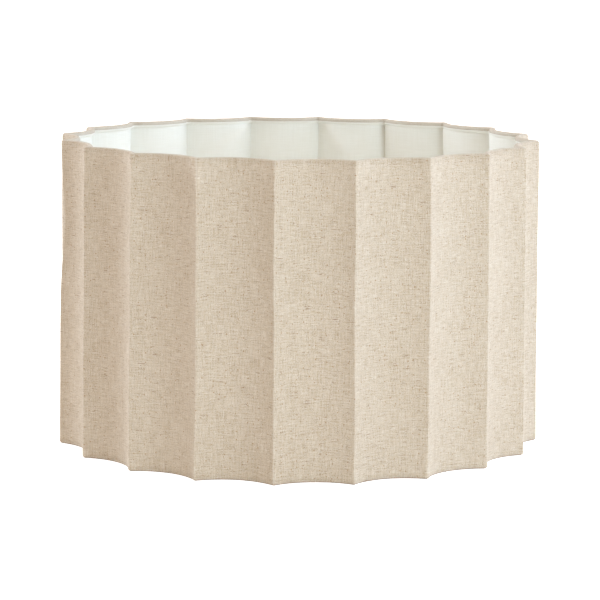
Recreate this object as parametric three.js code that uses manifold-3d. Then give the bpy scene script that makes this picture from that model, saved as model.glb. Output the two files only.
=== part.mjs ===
// A scalloped drum lamp shade in natural linen. Twenty concave panels meet in
// sharp upright ridges. The cover is linen glued to a clear backing sheet, lined
// with white fabric. It is rolled round a wire ring at the top and at the bottom.
// Four wire arms on the bottom ring carry the flat ring that sits on a lamp holder.
// Millimetres, +Z up. The origin is on the axis, at the height of the bottom edge,
// and a ridge lies on each of the X and Y axes.

import * as THREE from 'three';
import { ParametricGeometry } from 'three/addons/geometries/ParametricGeometry.js';
import { mergeVertices } from 'three/addons/utils/BufferGeometryUtils.js';
import Module from 'manifold-3d';

const wasm = await Module();
wasm.setup();

// Overall size
const RIDGE_RADIUS = 200;       // axis to the crest of a ridge
const HEIGHT = 252;
const PANELS = 20;
const PANEL_DEPTH = 10.5;       // how far a panel's middle lies behind its two ridges

// Layers of the wall, from the outside in
const GAP = 0.3;                // clearance between pieces that touch
const LINEN = 0.7;
const BACKING = 0.5;
const LINING = 0.4;

// Wire frame
const WIRE_RADIUS = 1.4;

// Fitter
const FITTER_BORE_RADIUS = 21;  // slips over the thread of an E27 holder
const FITTER_RIM_RADIUS = 30;
const FITTER_THICKNESS = 2;
const FITTER_TOP = 50;          // height of the fitter's upper face above the bottom edge
const ARMS = 4;
const ARM_LAP = 3.5;            // how far an arm reaches under the fitter ring
const ARM_FOOT = 14;            // level stretch of an arm beside the bottom ring
const ARM_HEAD = 12;            // and beside the fitter ring
const ARM_BEND = 9;             // length of wire each side of a bend
const SLIT_ROOM = 0.4;          // clearance round an arm where it passes the rolled edge

// Fineness of the facets
const PANEL_STEPS = 6;
const WIRE_SIDES = 6;
const ARM_SIDES = 8;
const ARM_STEPS = 18;
const FITTER_STEPS = 48;

// Scalloped outline. Each panel is an arc that bulges towards the axis.
const halfPanel = Math.PI / PANELS;
const halfChord = RIDGE_RADIUS * Math.sin(halfPanel);
const arcRadius = (halfChord ** 2 + PANEL_DEPTH ** 2) / (2 * PANEL_DEPTH);
const panelRadius = RIDGE_RADIUS * Math.cos(halfPanel) - PANEL_DEPTH;   // axis to a panel's middle
const arcCentre = panelRadius + arcRadius;

// A point of the outline, set inwards by depth. step counts PANEL_STEPS to a panel.
function outlinePoint(step, depth) {
  const panel = Math.floor(step / PANEL_STEPS) % PANELS;
  const along = (step % PANEL_STEPS) / PANEL_STEPS * 2 - 1;
  const radius = arcRadius + depth;
  const side = arcCentre * Math.sin(halfPanel);
  const crest = arcCentre * Math.cos(halfPanel) - Math.sqrt(radius ** 2 - side ** 2);
  const halfAngle = Math.asin(crest * Math.sin(halfPanel) / radius);
  const angle = along * halfAngle;
  const outward = arcCentre - radius * Math.cos(angle);
  const sideways = radius * Math.sin(angle);
  const turn = (2 * panel + 1) * halfPanel;
  return new THREE.Vector2(outward, sideways).rotateAround(new THREE.Vector2(), turn);
}

// A closed section of (depth, height) points, carried round the scalloped outline
function sweepRound(section) {
  const steps = PANELS * PANEL_STEPS;
  const surface = (u, v, target) => {
    const [depth, z] = section[Math.round(v * section.length) % section.length];
    const point = outlinePoint(Math.round(u * steps) % steps, depth);
    target.set(point.x, point.y, z);
  };
  return new ParametricGeometry(surface, steps, section.length);
}

function metal(color, roughness) {
  return new THREE.MeshStandardMaterial({ color, roughness, metalness: 0.3 });
}

function cloth(color) {
  return new THREE.MeshStandardMaterial({ color, roughness: 0.9, metalness: 0 });
}

function place(geometry, material, name) {
  const mesh = new THREE.Mesh(geometry, material);
  mesh.name = name;
  group.add(mesh);
}

// Boolean cut: the first closed geometry less all the others
function toSolid(geometry) {
  const plain = geometry.clone();
  plain.deleteAttribute('normal');
  plain.deleteAttribute('uv');
  const merged = mergeVertices(plain, 1e-4);
  return new wasm.Manifold(new wasm.Mesh({
    numProp: 3,
    vertProperties: new Float32Array(merged.attributes.position.array),
    triVerts: new Uint32Array(merged.index.array),
  }));
}

function cut(geometry, tools) {
  let solid = toSolid(geometry);
  for (const tool of tools) solid = solid.subtract(toSolid(tool));
  const mesh = solid.getMesh();
  const result = new THREE.BufferGeometry();
  result.setAttribute('position', new THREE.BufferAttribute(mesh.vertProperties, 3));
  result.setIndex(new THREE.BufferAttribute(mesh.triVerts, 1));
  result.computeVertexNormals();
  return result;
}

// Depths and heights that the pieces share
const backingFace = LINEN + GAP;
const liningFace = backingFace + BACKING + GAP;
const rollInner = WIRE_RADIUS + GAP;            // the rolled linen's two faces, round the wire
const rollOuter = rollInner + LINEN;
const wireDepth = rollOuter;
const wireHeights = { bottom: rollOuter, top: HEIGHT - rollOuter };
const sheetEnd = 2 * rollOuter + GAP;           // backing and lining stop at the rolled edges

const group = new THREE.Group();
const linenColour = 0xd8ccb6;
const wireColour = 0xf1f0ea;

// Linen cover: the outer face, rolled over each wire and tucked in behind it.
// Its section is worked out for the top half and mirrored for the bottom half.
function coverSection() {
  const flatSide = Math.PI / 8;                 // the roll follows an octagon round the wire
  const roll = (radius) => [7, 5, 3, 1, -1, -3].map((eighths) => {
    const corner = radius / Math.cos(flatSide);
    return [
      wireDepth + corner * Math.cos(eighths * flatSide),
      wireHeights.top + corner * Math.sin(eighths * flatSide),
    ];
  });
  const tuckedEdge = [
    [wireDepth, wireHeights.top - rollOuter],
    [wireDepth, wireHeights.top - rollInner],
  ];
  const upper = [...roll(rollOuter), ...tuckedEdge, ...roll(rollInner).reverse()];
  const lower = upper.map(([depth, z]) => [depth, HEIGHT - z]).reverse();
  return [...upper, ...lower];
}

const armAngles = Array.from({ length: ARMS }, (_, i) => halfPanel + i * 2 * Math.PI / ARMS);

// Slits in the lower rolled edge, snipped from its tucked end, where the arms come through
function armSlits() {
  const width = 2 * (WIRE_RADIUS + SLIT_ROOM);
  const bottom = wireHeights.bottom - WIRE_RADIUS - SLIT_ROOM;
  const top = sheetEnd + GAP;
  const reach = 2 * rollOuter;
  const middle = panelRadius - wireDepth + GAP - reach / 2;
  return armAngles.map((angle) => {
    const slit = new THREE.BoxGeometry(reach, width, top - bottom);
    slit.translate(middle, 0, (top + bottom) / 2);
    slit.rotateZ(angle);
    return slit;
  });
}

place(cut(sweepRound(coverSection()), armSlits()), cloth(linenColour), 'linen_cover');

// Backing sheet: stiff clear plastic that the linen is laminated to
function sheetSection(face, thickness) {
  return [
    [face, sheetEnd], [face, HEIGHT - sheetEnd],
    [face + thickness, HEIGHT - sheetEnd], [face + thickness, sheetEnd],
  ];
}

const clearPlastic = new THREE.MeshStandardMaterial({ color: 0xf4f4f0, roughness: 0.3 });
place(sweepRound(sheetSection(backingFace, BACKING)), clearPlastic, 'backing_sheet');

// Lining: white fabric on the inside
place(sweepRound(sheetSection(liningFace, LINING)), cloth(0xecebe2), 'lining');

// Top and bottom rings: round wire bent to the scallops
function wireSection(height) {
  return Array.from({ length: WIRE_SIDES }, (_, i) => {
    const a = Math.PI - (i + 0.5) * 2 * Math.PI / WIRE_SIDES;
    return [wireDepth + WIRE_RADIUS * Math.cos(a), height + WIRE_RADIUS * Math.sin(a)];
  });
}

place(sweepRound(wireSection(wireHeights.top)), metal(wireColour, 0.4), 'top_ring');
place(sweepRound(wireSection(wireHeights.bottom)), metal(wireColour, 0.4), 'bottom_ring');

// Fitter ring: a flat steel washer that sits on the lamp holder
const fitterBottom = FITTER_TOP - FITTER_THICKNESS;
const washer = new THREE.LatheGeometry([
  new THREE.Vector2(FITTER_BORE_RADIUS, 0),
  new THREE.Vector2(FITTER_RIM_RADIUS, 0),
  new THREE.Vector2(FITTER_RIM_RADIUS, FITTER_THICKNESS),
  new THREE.Vector2(FITTER_BORE_RADIUS, FITTER_THICKNESS),
  new THREE.Vector2(FITTER_BORE_RADIUS, 0),
], FITTER_STEPS);
washer.rotateX(Math.PI / 2);
washer.translate(0, 0, fitterBottom);
place(washer, metal(wireColour, 0.4), 'fitter_ring');

// Fitter arms: wire from the bottom ring, up to the underside of the fitter ring
function armGeometry(angle) {
  const start = panelRadius - wireDepth - WIRE_RADIUS - GAP;
  const low = wireHeights.bottom;
  const high = fitterBottom - GAP - WIRE_RADIUS;
  const end = FITTER_RIM_RADIUS - ARM_LAP;
  const bendAt = { low: start - ARM_FOOT, high: FITTER_RIM_RADIUS + ARM_HEAD };
  const point = (r, z) => new THREE.Vector3(r, 0, z);
  const lean = new THREE.Vector3(bendAt.high - bendAt.low, 0, high - low).normalize();
  const lowKnee = point(bendAt.low, low);
  const highKnee = point(bendAt.high, high);
  const leave = lowKnee.clone().addScaledVector(lean, ARM_BEND);
  const arrive = highKnee.clone().addScaledVector(lean, -ARM_BEND);
  const footEnd = point(bendAt.low + ARM_BEND, low);
  const headEnd = point(bendAt.high - ARM_BEND, high);
  const path = new THREE.CurvePath();
  path.add(new THREE.LineCurve3(point(start, low), footEnd));
  path.add(new THREE.QuadraticBezierCurve3(footEnd, lowKnee, leave));
  path.add(new THREE.LineCurve3(leave, arrive));
  path.add(new THREE.QuadraticBezierCurve3(arrive, highKnee, headEnd));
  path.add(new THREE.LineCurve3(headEnd, point(end, high)));
  const circle = new THREE.Shape();
  circle.absarc(0, 0, WIRE_RADIUS, 0, 2 * Math.PI);
  const arm = new THREE.ExtrudeGeometry(circle, {
    extrudePath: path, steps: ARM_STEPS, curveSegments: ARM_SIDES / 2,
  });
  arm.rotateZ(angle);
  return arm;
}

armAngles.forEach((angle, i) => {
  place(armGeometry(angle), metal(wireColour, 0.4), `fitter_arm_${i + 1}`);
});

export default group;
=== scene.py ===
# A scalloped drum lamp shade in natural linen, lined in white, with wire rings in its rolled edges
# and a low wire fitter. Metres, +Z up, the shade stands on its bottom edge.

import math

import bpy
import numpy as np
from mathutils import Matrix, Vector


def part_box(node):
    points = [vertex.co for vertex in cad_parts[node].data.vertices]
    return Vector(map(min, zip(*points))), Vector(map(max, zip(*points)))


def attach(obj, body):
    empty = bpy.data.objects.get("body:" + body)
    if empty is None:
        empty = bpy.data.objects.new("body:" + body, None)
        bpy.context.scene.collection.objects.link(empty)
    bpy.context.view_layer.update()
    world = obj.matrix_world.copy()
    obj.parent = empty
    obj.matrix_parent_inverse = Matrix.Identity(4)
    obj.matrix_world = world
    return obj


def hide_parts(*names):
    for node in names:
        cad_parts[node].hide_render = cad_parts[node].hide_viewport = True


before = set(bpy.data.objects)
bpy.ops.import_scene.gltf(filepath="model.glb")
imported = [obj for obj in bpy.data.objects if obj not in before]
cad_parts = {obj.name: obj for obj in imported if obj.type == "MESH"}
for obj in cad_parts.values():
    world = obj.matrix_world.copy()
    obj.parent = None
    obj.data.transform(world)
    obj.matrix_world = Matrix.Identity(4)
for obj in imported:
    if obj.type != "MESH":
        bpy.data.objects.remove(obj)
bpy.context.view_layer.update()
scene = bpy.context.scene


# ---------------------------------------------------------------------------------------------
# Camera: a long lens, a little above the upper edge, nearly square to one of the ridges.
# The distances are in ridge radii, so they follow the shade's size.

cover_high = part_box("linen_cover")[1]
ridge_radius = cover_high.x
shade_height = cover_high.z

camera_distance = 11.0543 * ridge_radius
camera_height = 2.2806 * ridge_radius
camera_turn = math.radians(5.118)
camera_pan = math.radians(-0.049)
camera_tilt = math.radians(8.783)
camera_roll = math.radians(0.4465)

camera_data = bpy.data.cameras.new("camera")
camera_data.lens = 160.0
camera_data.sensor_width = 36.0
camera_data.clip_end = 100.0
camera = bpy.data.objects.new("camera", camera_data)
scene.collection.objects.link(camera)
camera.matrix_world = (
    Matrix.Rotation(camera_turn, 4, "Z")
    @ Matrix.Translation((0.0, -camera_distance, camera_height))
    @ Matrix.Rotation(camera_pan, 4, "Z")
    @ Matrix.Rotation(math.radians(90.0) - camera_tilt, 4, "X")
    @ Matrix.Rotation(camera_roll, 4, "Z")
)
scene.camera = camera


# ---------------------------------------------------------------------------------------------
# Linen cover: one sheet of natural flax linen, glued to a stiff backing and bent into twenty
# hollow panels with a ridge between each two. Its edges are rolled over the two wire rings and
# tucked in behind them, and its ends lap beside the ridge at the back.

panels = 20
half_panel = math.pi / panels
panel_middle = 0.18704          # axis to the deepest line of a panel
panel_cloth = 0.060             # cloth across one panel, for spacing things along it
ridge_round = 0.0014            # outside radius of a ridge at half height
ridge_round_at_rim = 0.0030     # the wire bends more gently than the sheet
rim_reach = 0.018
linen_thickness = 0.0007
ring_low, ring_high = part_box("top_ring")
wire_radius = (ring_high.z - ring_low.z) / 2
roll_radius = shade_height - (ring_high.z + ring_low.z) / 2
wire_depth = roll_radius
top_wire_height = shade_height - roll_radius
flare = 0.012                   # the lower edge is this part wider than the upper one
lap_width = 0.012
lap_panel = 5
lap_lift = 0.0006               # how far the outer end of the sheet stands off the inner one
lap_edge = 0.004                # share of a panel over which the lap steps down
slit_panels = (0, 5, 10, 15)
slit_half_width = 0.0018
slit_roll = math.radians(105)   # how far round the lower wire the cloth goes at a slit

chance = np.random.default_rng(20)
ridge_phase = chance.uniform(0, 2 * math.pi, (panels, 2))
panel_phase = chance.uniform(0, 2 * math.pi, panels)
panel_size = chance.uniform(-1, 1, panels)
pucker_size = chance.uniform(0.00015, 0.0006, (2, panels, 2))
pucker_phase = chance.uniform(-0.8, 0.8, (2, panels, 2))
rim_softness = chance.uniform(0.7, 1.3, (2, panels))
rim_softness[1, 14] = 2.4       # one ridge was never creased right up to the upper edge
# one ridge is pushed in a little: ridge, how far, at what height, over how much height
dent_ridge, dent_depth, dent_height, dent_reach = 11, 0.0028, 0.186, 0.036
long_wavelength = 0.34
short_wavelength = 0.12
wander_along = 0.0005           # ridges, round the shade
wander_out = 0.0003             # and away from the axis
depth_spread = 0.0005           # from one panel to another
depth_wander = 0.0003           # up the height of one panel
tightest_bend = 0.0003


def slow_wave(phase, z):
    """A gentle wander up the height of the shade, between about -1 and 1."""
    long_wave = np.sin(2 * math.pi * z / long_wavelength + phase)
    short_wave = np.sin(2 * math.pi * z / short_wavelength + 2.7 * phase)
    return 0.65 * long_wave + 0.35 * short_wave


def settle(x, y, z):
    """Moves points as the real sheet lies: ridges wander by half a millimetre, panels vary in depth."""
    angle = np.arctan2(y, x) % (2 * math.pi)
    radius = np.hypot(x, y) * (1 + flare * (0.5 - z / shade_height))
    place = angle / (2 * half_panel)
    left = np.floor(place).astype(int) % panels
    right = (left + 1) % panels
    along = place - np.floor(place)
    ease = along * along * (3 - 2 * along)

    def between(kind, size):
        low = slow_wave(ridge_phase[left, kind], z)
        high = slow_wave(ridge_phase[right, kind], z)
        return size * ((1 - ease) * low + ease * high)

    angle = angle + between(0, wander_along) / ridge_radius
    hollow = np.sin(math.pi * along) ** 2
    depth = depth_spread * panel_size[left] + depth_wander * slow_wave(panel_phase[left], z)
    radius = radius + between(1, wander_out) - depth * hollow
    dent_share = (left == dent_ridge) * (1 - ease) + (right == dent_ridge) * ease
    radius = radius - dent_depth * dent_share * np.exp(-(((z - dent_height) / dent_reach) ** 2))
    return radius * np.cos(angle), radius * np.sin(angle), z


def stations(panel, arc_steps=16, bend_steps=4, beside_ridge=()):
    """The places round one panel: (on the left ridge, on the hollow, on the right ridge; how far along)."""
    hollow = [i / arc_steps for i in range(arc_steps + 1)]
    hollow += list(beside_ridge) + [1 - t for t in beside_ridge]
    if panel in slit_panels:
        edge = slit_half_width / panel_cloth
        hollow += [0.5 - 1.3 * edge, 0.5 - edge, 0.5 + edge, 0.5 + 1.3 * edge]
    if panel == lap_panel:
        lap = lap_width / panel_cloth
        hollow += [lap, lap + lap_edge]
    places = [("left", i / bend_steps) for i in range(bend_steps)]
    places += [("hollow", t) for t in sorted(hollow)]
    places += [("right", i / bend_steps) for i in range(bend_steps - 1, 0, -1)]
    return places


def half_outline(places, ridge, panel, depth, z):
    """Points of one panel's outline, set inwards by depth, with its ridges as round as the given one."""
    near_rim = np.minimum(z, shade_height - z)
    rim = (z > shade_height / 2).astype(int)
    at_rim = ridge_round_at_rim * rim_softness[rim, ridge]
    bend = ridge_round + (at_rim - ridge_round) * np.exp(-near_rim / rim_reach)
    crest_centre = ridge_radius - bend
    cos_half, sin_half = math.cos(half_panel), math.sin(half_panel)
    chord = bend**2 - panel_middle**2 - crest_centre**2 + 2 * crest_centre * panel_middle * cos_half
    arc = chord / (2 * (panel_middle - crest_centre * cos_half - bend))
    arc_centre = panel_middle + arc
    arc_here = arc + depth
    bend_here = np.maximum(bend - depth, tightest_bend)
    reach = np.sqrt((arc_here + bend_here) ** 2 - (arc_centre * sin_half) ** 2)
    bend_centre = arc_centre * cos_half - reach
    half_arc = np.arctan2(bend_centre * sin_half, arc_centre - bend_centre * cos_half)
    xs, ys = [], []
    for kind, t in places:
        if kind == "hollow":
            angle = (2 * t - 1) * half_arc
            xs.append(arc_centre - arc_here * np.cos(angle))
            ys.append(arc_here * np.sin(angle))
        else:
            side = -1 if kind == "left" else 1
            angle = -half_panel + t * (half_arc + half_panel)
            xs.append(bend_centre * cos_half + bend_here * np.cos(angle))
            ys.append(side * (bend_centre * sin_half - bend_here * np.sin(angle)))
    turn = (2 * panel + 1) * half_panel
    xs, ys = np.array(xs), np.array(ys)
    return xs * math.cos(turn) - ys * math.sin(turn), xs * math.sin(turn) + ys * math.cos(turn)


def outline(places, panel, depth, z):
    """Points of the scalloped outline, set inwards by depth. depth and z are arrays of one length."""
    share = np.array([{"left": 0.0, "hollow": t, "right": 1.0}[kind] for kind, t in places])[:, None]
    share = share * share * (3 - 2 * share)
    x_left, y_left = half_outline(places, panel, panel, depth, z)
    x_right, y_right = half_outline(places, (panel + 1) % panels, panel, depth, z)
    return x_left + share * (x_right - x_left), y_left + share * (y_right - y_left)


def round_lengths(all_places):
    """Distance along the cloth to each station, measured on the outer face at half height."""
    middle = np.array([shade_height / 2])
    points = []
    for panel, places in enumerate(all_places):
        x, y = outline(places, panel, np.zeros(1), middle)
        points += list(zip(x[:, 0], y[:, 0]))
    points = np.array(points + points[:1])
    steps = np.linalg.norm(np.diff(points, axis=0), axis=1)
    return np.concatenate([[0.0], np.cumsum(steps)])


def closed_mesh(name, columns, material, uv=None):
    """A closed mesh from rings of points: each column joins the next, and the last joins the first."""
    across, around = len(columns[0]), len(columns)
    i, j = np.meshgrid(np.arange(around), np.arange(across), indexing="ij")
    i_next, j_next = (i + 1) % around, (j + 1) % across
    quads = np.stack([i * across + j, i_next * across + j, i_next * across + j_next, i * across + j_next], -1)
    mesh = bpy.data.meshes.new(name)
    mesh.from_pydata(np.concatenate(columns).tolist(), [], quads.reshape(-1, 4).tolist())
    if uv is not None:
        lengths, v = uv
        u = np.stack([lengths[i], lengths[i + 1], lengths[i + 1], lengths[i]], -1)
        v = np.stack([v[i, j], v[i_next, j], v[i_next, j_next], v[i, j_next]], -1)
        layer = mesh.uv_layers.new(name="cloth")
        layer.data.foreach_set("uv", np.stack([u.ravel(), v.ravel()], 1).ravel().astype(np.float32))
    mesh.shade_smooth()
    mesh.set_sharp_from_angle(angle=math.radians(50))
    mesh.materials.append(material)
    piece = bpy.data.objects.new(name, mesh)
    scene.collection.objects.link(piece)
    return piece


def swept_piece(name, section_of, all_places, material):
    """A section of (depth, height, distance along the cloth), carried round the shade."""
    columns, cloth_v = [], []
    for panel, places in enumerate(all_places):
        for place in places:
            depth, z, v = section_of(panel, place)
            x, y = outline([place], panel, depth, z)
            columns.append(np.stack(settle(x[0], y[0], z), axis=1))
            cloth_v.append(v)
    return closed_mesh(name, columns, material, (round_lengths(all_places), np.array(cloth_v)))


# The cover's section runs from the tucked lower edge, up the outer face, to the tucked upper edge,
# and back along the inner face.
roll_steps = 12
wall_steps = 22
full_roll = 1.5 * math.pi
pucker_wavelength = 0.0055
pucker_reach = 0.006


def pucker(rim, panel, place):
    """How far the tucked side of a roll stands off the wire where it is gathered beside a ridge."""
    kind, t = place
    ridge, from_ridge = panel, t * panel_cloth
    if kind == "right" or (kind == "hollow" and t > 0.5):
        ridge, from_ridge = (panel + 1) % panels, (1 - t) * panel_cloth
    side = 0 if ridge == panel else 1
    if kind != "hollow":
        from_ridge = 0.0
    wave = math.cos(2 * math.pi * from_ridge / pucker_wavelength + pucker_phase[rim, ridge, side])
    return pucker_size[rim, ridge, side] * wave * math.exp(-((from_ridge / pucker_reach) ** 2))


def roll_line(rim, roll, inset, panel, place):
    """Radius of a roll about its wire, at each angle round it."""
    tucked = np.clip((roll - 0.5 * math.pi) / math.pi, 0, 1)
    return roll_radius - inset + pucker(rim, panel, place) * np.sin(math.pi * tucked)


def cover_line(inset, lower_roll, panel, place):
    """One face of the cover, from bottom to top: depth, height and distance along the cloth."""
    roll = np.linspace(0, full_roll, roll_steps + 1)
    low_roll = np.linspace(0, lower_roll, roll_steps + 1)[::-1]
    wall = np.linspace(roll_radius, top_wire_height, wall_steps + 1)[1:-1]
    top = roll_line(1, roll, inset, panel, place)
    low = roll_line(0, low_roll, inset, panel, place)
    depth = np.concatenate([
        wire_depth - low * np.cos(low_roll),
        np.full(len(wall), inset),
        wire_depth - top * np.cos(roll),
    ])
    height = np.concatenate([
        roll_radius - low * np.sin(low_roll),
        wall,
        top_wire_height + top * np.sin(roll),
    ])
    along = np.concatenate([
        -roll_radius * low_roll,
        wall - roll_radius,
        top_wire_height - roll_radius + roll_radius * roll,
    ])
    return depth, height, along


def cover_section(panel, place):
    kind, t = place
    off_middle = abs(t - 0.5) * panel_cloth
    in_slit = kind == "hollow" and panel in slit_panels and off_middle < slit_half_width * 1.1
    lower_roll = slit_roll if in_slit else full_roll
    outer = cover_line(0.0, lower_roll, panel, place)
    inner = cover_line(linen_thickness, lower_roll, panel, place)
    past_lap = kind == "right" or (kind == "hollow" and t > lap_width / panel_cloth + lap_edge / 2)
    if panel == lap_panel and not past_lap:
        outer[0][:] -= lap_lift * np.cos(np.linspace(-1.2, 1.2, len(outer[0])))
    return [np.concatenate([o, i[::-1]]) for o, i in zip(outer, inner)]


def new_material(name):
    material = bpy.data.materials.new(name)
    material.use_nodes = True
    return material, material.node_tree.nodes["Principled BSDF"]


def node(material, kind, inputs=(), **settings):
    """Adds a shader node. Each input is a value, or a node whose first output feeds it."""
    tree = material.node_tree
    new = tree.nodes.new("ShaderNode" + kind)
    for setting, value in settings.items():
        setattr(new, setting, value)
    for key, value in dict(inputs).items():
        if isinstance(value, bpy.types.Node):
            value = value.outputs[0]
        if isinstance(value, bpy.types.NodeSocket):
            tree.links.new(value, new.inputs[key])
        else:
            new.inputs[key].default_value = value
    return new


def maths(material, operation, a, b=0.0, c=0.0):
    return node(material, "Math", {0: a, 1: b, 2: c}, operation=operation)


def stretched(material, source, size_u, size_v, seed=0.0):
    """Cloth coordinates in units of one feature: size_u and size_v in millimetres."""
    scaled = node(material, "VectorMath", {0: source, 1: (1 / size_u, 1 / size_v, 1.0)}, operation="MULTIPLY")
    return node(material, "VectorMath", {0: scaled, 1: (seed, 0.37 * seed, 0.0)}, operation="ADD")


def noise(material, place, detail=0.0, roughness=0.5):
    inputs = {"Vector": place, "Scale": 1.0, "Detail": detail, "Roughness": roughness}
    return node(material, "TexNoise", inputs, noise_dimensions="2D")


def fade(material, value, low, high, to_low=0.0, to_high=1.0):
    inputs = {"Value": value, "From Min": low, "From Max": high, "To Min": to_low, "To Max": to_high}
    return node(material, "MapRange", inputs, interpolation_type="SMOOTHSTEP")


def blend(material, factor, a, b, mode="MIX"):
    """Mixes two colours, given as sockets, nodes or values."""
    mixer = node(material, "Mix", {0: factor, 6: a, 7: b}, data_type="RGBA", blend_type=mode)
    return mixer.outputs[2]


def cloth_millimetres(material):
    source = node(material, "UVMap", uv_map="cloth")
    return node(material, "VectorMath", {0: source, 1: (1000.0, 1000.0, 0.0)}, operation="MULTIPLY")


def plain_weave(material, place, pitch_u, pitch_v):
    """Height of a plain weave, 0 to 1: threads pass over and under each other in turn."""
    parts = node(material, "SeparateXYZ", {0: place})
    waves = []
    for axis, pitch in ((0, pitch_u), (1, pitch_v)):
        phase = maths(material, "MULTIPLY", parts.outputs[axis], math.pi / pitch)
        waves.append(maths(material, "SINE", phase))
    over = fade(material, maths(material, "MULTIPLY", waves[0], waves[1]), -0.25, 0.25)
    rounds = [maths(material, "ABSOLUTE", wave) for wave in waves]
    difference = maths(material, "SUBTRACT", rounds[1], rounds[0])
    return maths(material, "MULTIPLY_ADD", over, difference, rounds[0])


# Natural linen: thread pitch about 0.7 mm, uneven threads, slubs, a few brown flecks and a few
# runs of unbleached thread. All sizes here are in millimetres.
linen, linen_shader = new_material("natural_linen")
flat_cloth = cloth_millimetres(linen)
drift = noise(linen, stretched(linen, flat_cloth, 38, 52), detail=1.0)
drift_sideways = {0: drift.outputs["Color"], 1: (0.5, 0.5, 0.5)}
drift_vector = node(linen, "VectorMath", drift_sideways, operation="SUBTRACT")
drift_scaled = node(linen, "VectorMath", {0: drift_vector, 1: (2.4, 2.4, 0.0)}, operation="MULTIPLY")
cloth = node(linen, "VectorMath", {0: flat_cloth, 1: drift_scaled}, operation="ADD")

warp_tone = noise(linen, stretched(linen, cloth, 0.92, 11, 3.1), detail=1.0)
weft_tone = noise(linen, stretched(linen, cloth, 9, 0.92, 7.7), detail=1.0)
grain = noise(linen, stretched(linen, cloth, 0.85, 0.85, 1.9), detail=1.5, roughness=0.7)
cloud = noise(linen, stretched(linen, cloth, 26, 34, 5.3), detail=2.0)
weave = plain_weave(linen, cloth, 0.70, 0.74)

tone = maths(linen, "MULTIPLY_ADD", warp_tone, 0.42, -0.21)
tone = maths(linen, "MULTIPLY_ADD", weft_tone, 0.45, maths(linen, "ADD", tone, -0.225))
tone = maths(linen, "MULTIPLY_ADD", grain, 0.92, maths(linen, "ADD", tone, -0.46))
tone = maths(linen, "MULTIPLY_ADD", cloud, 0.12, maths(linen, "ADD", tone, -0.06))
tone = maths(linen, "MULTIPLY_ADD", weave, 0.10, maths(linen, "ADD", tone, -0.06))

flax_dark = (0.335, 0.258, 0.174, 1.0)
flax = (0.543, 0.471, 0.379, 1.0)
flax_light = (0.664, 0.612, 0.538, 1.0)
thread_ramp = node(linen, "ValToRGB", {0: maths(linen, "ADD", tone, 0.5)})
thread_ramp.color_ramp.elements[0].position = 0.15
thread_ramp.color_ramp.elements[0].color = flax_dark
thread_ramp.color_ramp.elements[1].position = 0.85
thread_ramp.color_ramp.elements[1].color = flax_light
thread_ramp.color_ramp.elements.new(0.5).color = flax

weft_slub = fade(linen, noise(linen, stretched(linen, cloth, 11, 0.9, 11.3)), 0.66, 0.80)
warp_slub = fade(linen, noise(linen, stretched(linen, cloth, 0.9, 13, 17.9)), 0.69, 0.83)
slub = maths(linen, "MAXIMUM", weft_slub, warp_slub)
run = fade(linen, noise(linen, stretched(linen, cloth, 11.0, 0.85, 23.3)), 0.80, 0.85)
broken = fade(linen, noise(linen, stretched(linen, cloth, 1.2, 1.2, 29.1)), 0.35, 0.6)
dark_run = maths(linen, "MULTIPLY", run, broken)
fleck_cells = node(linen, "TexVoronoi", {"Vector": stretched(linen, cloth, 4.6, 5.2, 2.3), "Scale": 1.0},
                   voronoi_dimensions="2D")
fleck_chance = node(linen, "SeparateColor", {0: fleck_cells.outputs["Color"]})
fleck_size = fade(linen, fleck_chance, 0.35, 1.0, 0.03, 0.14)
fleck = fade(linen, maths(linen, "SUBTRACT", fleck_size, fleck_cells.outputs["Distance"]), 0.0, 0.06)

straw = (0.55, 0.452, 0.326, 1.0)
slub_brown = (0.456, 0.36, 0.254, 1.0)
fleck_brown = (0.32, 0.19, 0.09, 1.0)
run_brown = (0.25, 0.16, 0.10, 1.0)
hue = noise(linen, stretched(linen, cloth, 2.2, 2.6, 37.7), detail=1.0)
colour = blend(linen, fade(linen, hue, 0.3, 0.7, 0.0, 0.35), thread_ramp, straw)
colour = blend(linen, maths(linen, "MULTIPLY", slub, 0.35), colour, slub_brown)
colour = blend(linen, maths(linen, "MULTIPLY", fleck, 0.72), colour, fleck_brown)
colour = blend(linen, maths(linen, "MULTIPLY", dark_run, 0.80), colour, run_brown)

# Painted highlight: the crest of each ridge is painted paler, for the light that the crest catches.
crest_highlight_colour = (0.66, 0.63, 0.57, 1.0)
crest = node(linen, "Attribute", attribute_name="ridge_crest", attribute_type="GEOMETRY").outputs["Fac"]
crest_highlight = maths(linen, "MULTIPLY", fade(linen, crest, 0.0, 1.0), 0.45)
colour = blend(linen, crest_highlight, colour, crest_highlight_colour)

# Painted shade: where the cloth turns over the wire it is painted a little darker, for the shade along
# the roll. Painted highlight: the top of the upper roll is painted pale, for the light from above.
# Painted shade: the edge that the shade stands on is painted darkest, for the shadow under the lower roll.
roll_shade_tint = (0.86, 0.84, 0.81, 1.0)
rim_highlight_colour = (0.67, 0.64, 0.58, 1.0)
underside_shadow_tint = (0.55, 0.52, 0.52, 1.0)
cloth_height = node(linen, "SeparateXYZ", {0: flat_cloth}).outputs[1]
wall_top = 1000 * (top_wire_height - roll_radius)
# Painted shade over the two rolls.
roll_shade_low = fade(linen, cloth_height, 3.2, 0.6)
roll_shade_high = fade(linen, cloth_height, wall_top - 3.2, wall_top - 0.6)
roll_shade = maths(linen, "MAXIMUM", roll_shade_low, roll_shade_high)
roll_shade_colour = blend(linen, 1.0, colour, roll_shade_tint, "MULTIPLY")
colour = blend(linen, maths(linen, "MULTIPLY", roll_shade, 0.4), colour, roll_shade_colour)
# Painted highlight along the top of the upper roll.
rim_highlight = maths(linen, "MULTIPLY", fade(linen, cloth_height, wall_top + 1.2, wall_top + 3.0), 0.6)
colour = blend(linen, rim_highlight, colour, rim_highlight_colour)
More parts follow.
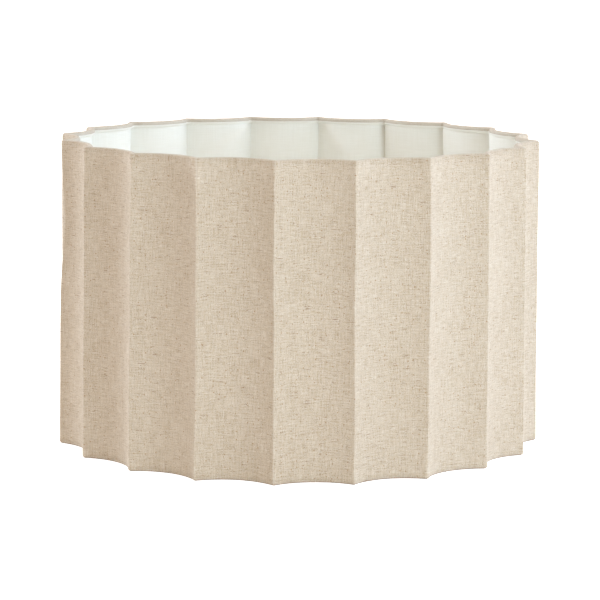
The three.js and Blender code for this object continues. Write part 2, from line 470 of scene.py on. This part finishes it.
# Painted shadow under the lower roll, on the edge that the shade stands on.
underside = fade(linen, cloth_height, -7.0, -5.4)
underside_shadow = maths(linen, "MULTIPLY", fade(linen, cloth_height, -0.8, -2.0), underside)
underside_shadow_colour = blend(linen, 1.0, colour, underside_shadow_tint, "MULTIPLY")
colour = blend(linen, underside_shadow, colour, underside_shadow_colour)
height = maths(linen, "MULTIPLY_ADD", slub, 0.8, weave)
height = maths(linen, "MULTIPLY_ADD", grain, 0.9, height)
linen_bump = node(linen, "Bump", {"Height": height, "Distance": 0.00022, "Strength": 0.75})
linen.node_tree.links.new(colour, linen_shader.inputs["Base Color"])
linen.node_tree.links.new(linen_bump.outputs[0], linen_shader.inputs["Normal"])
linen_roughness = fade(linen, grain, 0.2, 0.8, 0.82, 0.95)
linen.node_tree.links.new(linen_roughness.outputs[0], linen_shader.inputs["Roughness"])
linen_shader.inputs["Specular IOR Level"].default_value = 0.25
linen_shader.inputs["Sheen Weight"].default_value = 0.2
linen_shader.inputs["Sheen Roughness"].default_value = 0.45
linen_shader.inputs["Sheen Tint"].default_value = (1.0, 0.97, 0.92, 1.0)

gathers = (0.012, 0.026, 0.042, 0.085)
cover_places = [stations(panel, beside_ridge=gathers) for panel in range(panels)]
cover = swept_piece("linen_cover_cloth", cover_section, cover_places, linen)
crest_share = [float(kind == "left" and t == 0) for places in cover_places for kind, t in places]
crest_layer = cover.data.attributes.new("ridge_crest", "FLOAT", "POINT")
crest_layer.data.foreach_set("value", np.repeat(crest_share, len(cover.data.vertices) // len(crest_share)))
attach(cover, "root")
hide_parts("linen_cover")


# ---------------------------------------------------------------------------------------------
# Wire rings: two round steel wires bent to the scalloped outline, welded shut and powder-coated
# white. They lie inside the cover's rolled edges and hold its shape.

wire, wire_shader = new_material("white_powder_coat")
wire_place = node(wire, "TexCoord").outputs["Object"]
peel = node(wire, "TexNoise", {"Vector": wire_place, "Scale": 900.0, "Detail": 2.0})
patches = node(wire, "TexNoise", {"Vector": wire_place, "Scale": 60.0, "Detail": 3.0})
coat = blend(wire, fade(wire, patches, 0.35, 0.7), (0.84, 0.83, 0.79, 1.0), (0.78, 0.765, 0.71, 1.0))
specks = fade(wire, node(wire, "TexNoise", {"Vector": wire_place, "Scale": 420.0, "Detail": 1.0}), 0.74, 0.80)
coat = blend(wire, maths(wire, "MULTIPLY", specks, 0.6), coat, (0.34, 0.32, 0.30, 1.0))
wire.node_tree.links.new(coat, wire_shader.inputs["Base Color"])
wire_roughness = fade(wire, patches, 0.3, 0.7, 0.32, 0.48)
wire.node_tree.links.new(wire_roughness.outputs[0], wire_shader.inputs["Roughness"])
wire_bump = node(wire, "Bump", {"Height": peel, "Distance": 0.00004, "Strength": 0.5})
wire.node_tree.links.new(wire_bump.outputs[0], wire_shader.inputs["Normal"])

wire_sides = 12


def ring_section(wire_height):
    turn = np.linspace(0, 2 * math.pi, wire_sides + 1)[:-1]
    depth = wire_depth - wire_radius * np.cos(turn)
    height = wire_height + wire_radius * np.sin(turn)
    return lambda panel, place: (depth, height, wire_radius * turn)


ring_places = [stations(panel, arc_steps=12) for panel in range(panels)]
for ring_name, wire_height in (("top_ring", top_wire_height), ("bottom_ring", roll_radius)):
    ring = swept_piece(ring_name + "_wire", ring_section(wire_height), ring_places, wire)
    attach(ring, "root")
    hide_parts(ring_name)


# ---------------------------------------------------------------------------------------------
# Backing sheet: half a millimetre of clear plastic, glued to the linen. It holds the curve of the
# panels and stops short of the two rolled edges, so hardly any of it shows.

sheet_gap = 0.0003
backing_depth = linen_thickness + sheet_gap
backing_low, backing_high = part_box("backing_sheet")
backing_thickness = 0.0005
backing_steps = 12

backing_material, backing_shader = new_material("matt_clear_sheet")
backing_cloth = cloth_millimetres(backing_material)
scuffs = noise(backing_material, stretched(backing_material, backing_cloth, 0.5, 9, 4.4), detail=3.0)
haze = noise(backing_material, stretched(backing_material, backing_cloth, 30, 22, 8.2), detail=2.0)
milky = blend(backing_material, haze, (0.90, 0.90, 0.87, 1.0), (0.84, 0.84, 0.80, 1.0))
links = backing_material.node_tree.links
links.new(milky, backing_shader.inputs["Base Color"])
links.new(fade(backing_material, scuffs, 0.3, 0.7, 0.38, 0.6).outputs[0], backing_shader.inputs["Roughness"])
scuff_bump = node(backing_material, "Bump", {"Height": scuffs, "Distance": 0.00002, "Strength": 0.6})
links.new(scuff_bump.outputs[0], backing_shader.inputs["Normal"])


def sheet_line(depth, low, high, steps):
    height = np.linspace(low, high, steps + 1)
    return np.full(len(height), depth), height, height - roll_radius


def backing_section(panel, place):
    outer = sheet_line(backing_depth, backing_low.z, backing_high.z, backing_steps)
    inner = sheet_line(backing_depth + backing_thickness, backing_low.z, backing_high.z, backing_steps)
    return [np.concatenate([o, i[::-1]]) for o, i in zip(outer, inner)]


plain_places = [stations(panel, arc_steps=12, bend_steps=3) for panel in range(panels)]
backing = swept_piece("backing_sheet_shell", backing_section, plain_places, backing_material)
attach(backing, "root")
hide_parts("backing_sheet")


# ---------------------------------------------------------------------------------------------
# Lining: a fine white cloth on the inside, glued to the backing. Its upper edge turns in over the
# tucked side of the linen's roll, and where it was pressed in below the rim it has a few slanting
# creases.

lining_depth = backing_depth + backing_thickness + sheet_gap
lining_thickness = 0.0004
lining_low, lining_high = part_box("lining")

# panel: (side of the panel, distance from the ridge at the rim, lean, steepness towards the ridge)
crease_places = {
    1: ("right", 0.0042, 0.02, 0.60),
    2: ("right", 0.0050, 0.03, 0.70),
    3: ("right", 0.0062, 0.04, 0.75),
    4: ("right", 0.0085, 0.80, 0.42),
    6: ("left", 0.0040, 1.10, 0.42),
    9: ("right", 0.0060, 0.60, 0.20),
    13: ("left", 0.0070, 0.70, 0.20),
    17: ("left", 0.0060, 0.80, 0.20),
}
crease_height = 0.0045
crease_width = 0.012
crease_length = 0.070
panel_width = panel_cloth * 1.1 # cloth across one panel, with its two ridges


def crease_rise(panel, place, z):
    """How far the lining stands off the backing: it climbs from the ridge to a fold, then lies back."""
    if panel not in crease_places:
        return 0.0 * z
    side, start, lean, steepness = crease_places[panel]
    kind, t = place
    from_left = {"left": 0.0, "hollow": t, "right": 1.0}[kind] * panel_width
    from_ridge = from_left if side == "left" else panel_width - from_left
    below_rim = np.maximum(lining_high.z - z, 0)
    fold = start + lean * below_rim
    climb = np.minimum(from_ridge / fold, 1)
    lie_back = np.exp(-((np.maximum(from_ridge - fold, 0) / crease_width) ** 2))
    fade_out = np.clip(1 - below_rim / crease_length, 0, 1)
    return np.minimum(steepness * fold, crease_height) * climb * lie_back * fade_out


# The wall of the lining, and then the part that turns in.
wrap_angles = np.radians(np.linspace(255, 194, 7))
wrap_start = 0.0005             # cloth between the wall and the turn
creased_height = 0.072
plain_heights = np.linspace(lining_low.z, lining_high.z - creased_height, 13)[:-1]
creased_heights = np.linspace(lining_high.z - creased_height, lining_high.z, 31)
lining_heights = np.concatenate([plain_heights, creased_heights])


def lining_section(panel, place):
    faces = []
    for thickness in (0.0, lining_thickness):
        wall = lining_depth + thickness + crease_rise(panel, place, lining_heights)
        wrap = roll_line(1, wrap_angles, -sheet_gap - thickness, panel, place)
        wrap_depth = wire_depth - wrap * np.cos(wrap_angles)
        wrap_height = top_wire_height + wrap * np.sin(wrap_angles)
        depth = np.concatenate([wall, wrap_depth])
        height = np.concatenate([lining_heights, wrap_height])
        steps = np.hypot(np.diff(wrap_depth), np.diff(wrap_height))
        past_wall = lining_high.z - roll_radius + wrap_start + np.concatenate([[0.0], np.cumsum(steps)])
        faces.append((depth, height, np.concatenate([lining_heights - roll_radius, past_wall])))
    return [np.concatenate([o, i[::-1]]) for o, i in zip(*faces)]


# The weave is finer and more even than the linen's. Sizes in millimetres.
white_cloth, white_shader = new_material("white_lining")
lining_cloth = cloth_millimetres(white_cloth)
fine_weave = plain_weave(white_cloth, lining_cloth, 0.42, 0.45)
fine_warp = noise(white_cloth, stretched(white_cloth, lining_cloth, 0.8, 25, 2.9), detail=1.0)
fine_weft = noise(white_cloth, stretched(white_cloth, lining_cloth, 18, 0.8, 6.1), detail=1.0)
glue_mottle = noise(white_cloth, stretched(white_cloth, lining_cloth, 24, 30, 9.7), detail=2.0)
fine_tone = maths(white_cloth, "MULTIPLY_ADD", fine_warp, 0.5, maths(white_cloth, "MULTIPLY", fine_weft, 0.5))
mottle = maths(white_cloth, "MULTIPLY_ADD", glue_mottle, 0.25, -0.125)
fine_tone = maths(white_cloth, "ADD", fine_tone, mottle)
thread_share = fade(white_cloth, fine_tone, 0.2, 0.8)
white = blend(white_cloth, thread_share, (0.84, 0.85, 0.80, 1.0), (0.885, 0.90, 0.86, 1.0))
links = white_cloth.node_tree.links
links.new(white, white_shader.inputs["Base Color"])
fine_height = maths(white_cloth, "MULTIPLY_ADD", fine_tone, 0.8, fine_weave)
fine_bump = node(white_cloth, "Bump", {"Height": fine_height, "Distance": 0.00012, "Strength": 0.6})
links.new(fine_bump.outputs[0], white_shader.inputs["Normal"])
links.new(fade(white_cloth, fine_tone, 0.2, 0.8, 0.80, 0.92).outputs[0], white_shader.inputs["Roughness"])
white_shader.inputs["Specular IOR Level"].default_value = 0.3
white_shader.inputs["Sheen Weight"].default_value = 0.15
white_shader.inputs["Sheen Roughness"].default_value = 0.4

lining_places = [stations(panel, beside_ridge=gathers) for panel in range(panels)]
lining = swept_piece("lining_cloth", lining_section, lining_places, white_cloth)
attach(lining, "root")
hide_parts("lining")

# Both cloths were cut as long strips and curved onto the backing with no stretch.
cloth_round = float(round_lengths(cover_places)[-1])


# ---------------------------------------------------------------------------------------------
# Fitter ring: a flat pressed-steel washer with rounded edges, low inside the shade, that the lamp
# holder's collar clamps. White powder coat like the wires.

fitter_low, fitter_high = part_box("fitter_ring")
fitter_rim = fitter_high.x
fitter_bore = 0.021
edge_round = 0.0006
corner_steps = 4
fitter_steps = 96

corners = [
    (fitter_bore + edge_round, fitter_low.z + edge_round, 180),
    (fitter_rim - edge_round, fitter_low.z + edge_round, 270),
    (fitter_rim - edge_round, fitter_high.z - edge_round, 0),
    (fitter_bore + edge_round, fitter_high.z - edge_round, 90),
]
washer_section = []
for r, z, first in corners:
    for step in range(corner_steps + 1):
        angle = math.radians(first + 90 * step / corner_steps)
        washer_section.append((r + edge_round * math.cos(angle), z + edge_round * math.sin(angle)))
washer = np.array(washer_section)
columns = []
for step in range(fitter_steps):
    angle = 2 * math.pi * step / fitter_steps
    x, y = washer[:, 0] * math.cos(angle), washer[:, 0] * math.sin(angle)
    columns.append(np.stack([x, y, washer[:, 1]], axis=1))
fitter = closed_mesh("fitter_washer", columns, wire)
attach(fitter, "root")
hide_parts("fitter_ring")


# ---------------------------------------------------------------------------------------------
# Fitter arms: four bent steel wires. Each is spot-welded to the lower ring, rises towards the
# middle and is welded under the washer. The cover's lower roll is slit where an arm comes out.

arm_foot = 0.014                # straight part at the ring
arm_head = 0.012                # straight part beyond the washer's rim
arm_lap = 0.0035                # how far an arm runs in under the washer
arm_bend = 0.009
weld_swell = 0.30               # how much thicker the wire's flattened, welded ends are
weld_length = 0.0022
weld_reach = 0.0004
weld_gap = 0.0003               # between an arm's head and the washer
end_round = 0.0012
first_arm = 9                   # degrees round to the first arm
arm_sides = 14

foot_radius = panel_middle - wire_depth - wire_radius
foot = np.array([foot_radius, roll_radius])
foot_knee = np.array([foot_radius - arm_foot, roll_radius])
arm_top = fitter_low.z - weld_gap - wire_radius
head_knee = np.array([fitter_rim + arm_head, arm_top])
head = np.array([fitter_rim - arm_lap, arm_top])
lean = (head_knee - foot_knee) / np.linalg.norm(head_knee - foot_knee)


def bent(start, knee, end, steps=8):
    t = np.linspace(0, 1, steps + 1)[:, None]
    return (1 - t) ** 2 * start + 2 * t * (1 - t) * knee + t**2 * end


def straight(start, end, steps):
    t = np.linspace(0, 1, steps + 1)[1:-1, None]
    return start + t * (end - start)


foot_bend = bent(foot_knee + np.array([arm_bend, 0]), foot_knee, foot_knee + arm_bend * lean)
head_bend = bent(head_knee - arm_bend * lean, head_knee, head_knee - np.array([arm_bend, 0]))
arm_line = np.concatenate([
    straight(foot + np.array([weld_reach, 0]), foot_bend[0], 12),
    foot_bend,
    straight(foot_bend[-1], head_bend[0], 6),
    head_bend,
    straight(head_bend[-1], head, 12),
])
steps = np.linalg.norm(np.diff(arm_line, axis=0), axis=1)
arm_run = np.concatenate([[0.0], np.cumsum(steps)])
from_end = np.minimum(arm_run, arm_run[-1] - arm_run)
swell = 1 + weld_swell * np.exp(-((from_end / weld_length) ** 2))
rounding = np.sqrt(np.clip(1 - (1 - np.minimum(from_end / end_round, 1)) ** 2, 0.004, 1))
arm_radius = wire_radius * swell * rounding
direction = np.gradient(arm_line, axis=0)
direction /= np.linalg.norm(direction, axis=1)[:, None]

for number in range(1, 5):
    arm_low, arm_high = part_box(f"fitter_arm_{number}")
    middle = (arm_low + arm_high) / 2
    azimuth = math.atan2(middle.y, middle.x)
    quarter = round((math.degrees(azimuth) - first_arm) / 90)
    azimuth = math.radians(first_arm + 90 * quarter)
    points, faces = [], []
    for (r, z), (along_r, along_z), radius in zip(arm_line, direction, arm_radius):
        for side in range(arm_sides):
            turn = 2 * math.pi * side / arm_sides
            out, across = radius * math.sin(turn), radius * math.cos(turn)
            point_r = r - along_z * out
            x = point_r * math.cos(azimuth) - across * math.sin(azimuth)
            y = point_r * math.sin(azimuth) + across * math.cos(azimuth)
            points.append((x, y, z + along_r * out))
    for ring_number in range(len(arm_line) - 1):
        for side in range(arm_sides):
            a = ring_number * arm_sides + side
            b = ring_number * arm_sides + (side + 1) % arm_sides
            faces.append((a, b, b + arm_sides, a + arm_sides))
    faces.append(tuple(range(arm_sides))[::-1])
    faces.append(tuple(len(points) - arm_sides + side for side in range(arm_sides)))
    arm_mesh = bpy.data.meshes.new(f"fitter_arm_wire_{number}")
    arm_mesh.from_pydata(points, [], faces)
    arm_mesh.shade_smooth()
    arm_mesh.materials.append(wire)
    arm = bpy.data.objects.new(f"fitter_arm_wire_{number}", arm_mesh)
    scene.collection.objects.link(arm)
    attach(arm, "root")
    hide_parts(f"fitter_arm_{number}")


# ---------------------------------------------------------------------------------------------
# Studio: a white light table with a white wall round it, and soft light. Their glow is for the
# camera only; a sheet under the table gives back the light a table would, warm like the room's.

table_reach = 30.0
table_top = -0.0002
bounce_top = -0.0006
table_corners = [(x * table_reach, y * table_reach) for x, y in ((-1, -1), (1, -1), (1, 1), (-1, 1))]


def table_sheet(name, z):
    sheet_mesh = bpy.data.meshes.new(name)
    sheet_mesh.from_pydata([(x, y, z) for x, y in table_corners], [], [(0, 1, 2, 3)])
    sheet = bpy.data.objects.new(name, sheet_mesh)
    scene.collection.objects.link(sheet)
    material, shader = new_material(name)
    shader.inputs["Base Color"].default_value = (0.9, 0.9, 0.9, 1.0)
    shader.inputs["Roughness"].default_value = 0.9
    sheet_mesh.materials.append(material)
    return sheet, shader


table, table_shader = table_sheet("light_table", table_top)
table.visible_diffuse = False
table.visible_shadow = False
table_shader.inputs["Emission Color"].default_value = (1.0, 1.0, 1.0, 1.0)
table_shader.inputs["Emission Strength"].default_value = 1.0

# The same glow on a wall that stands round the table, out where the table ends.
wall_sides = 48
wall_radius = 28.0
wall_height = 40.0
wall_turns = [2 * math.pi * side / wall_sides for side in range(wall_sides)]
wall_points = [(wall_radius * math.cos(turn), wall_radius * math.sin(turn), z)
               for z in (table_top, wall_height) for turn in wall_turns]
wall_faces = [(i, (i + 1) % wall_sides, wall_sides + (i + 1) % wall_sides, wall_sides + i)
              for i in range(wall_sides)]
wall_mesh = bpy.data.meshes.new("light_wall")
wall_mesh.from_pydata(wall_points, [], wall_faces)
wall_mesh.materials.append(table.data.materials[0])
light_wall = bpy.data.objects.new("light_wall", wall_mesh)
scene.collection.objects.link(light_wall)
light_wall.visible_diffuse = False
light_wall.visible_glossy = False
light_wall.visible_shadow = False

bounce, bounce_shader = table_sheet("table_bounce", bounce_top)
bounce_shader.inputs["Emission Color"].default_value = (1.0, 0.84, 0.68, 1.0)
bounce_shader.inputs["Emission Strength"].default_value = 0.30
bounce.visible_camera = False

world = bpy.data.worlds.new("studio")
world.use_nodes = True
surround = world.node_tree.nodes["Background"]
surround.inputs["Color"].default_value = (1.0, 0.839, 0.68, 1.0)
surround.inputs["Strength"].default_value = 0.62
scene.world = world
scene.view_settings.view_transform = "Standard"

# name, degrees round from the camera to the right, degrees up, watts, colour
softboxes = [
    ("key", 30, 10, 20.0, (0.80, 1.00, 1.16)),
    ("right_side", 90, 15, 9.6, (0.80, 1.00, 1.34)),
    ("right_behind", 110, 20, 11.6, (0.86, 1.00, 1.20)),
    ("left_side", -100, 12, 8.5, (0.90, 1.00, 1.16)),
    ("left_behind", -125, 15, 25.5, (0.88, 1.00, 1.16)),
    ("overhead", 0, 88, 10.5, (1.08, 1.00, 0.92)),
]
softbox_size = 1.0
softbox_distance = 2.0
camera_azimuth = camera_turn - math.pi / 2
for name, right, up, watts, tint in softboxes:
    softbox = bpy.data.lights.new(name, "AREA")
    softbox.shape = "SQUARE"
    softbox.size = softbox_size
    softbox.energy = watts
    softbox.color = tint
    lamp = bpy.data.objects.new(name, softbox)
    scene.collection.objects.link(lamp)
    lamp.matrix_world = (
        Matrix.Translation((0, 0, shade_height / 2))
        @ Matrix.Rotation(camera_azimuth + math.radians(right), 4, "Z")
        @ Matrix.Rotation(math.radians(90 - up), 4, "Y")
        @ Matrix.Translation((0, 0, softbox_distance))
    )
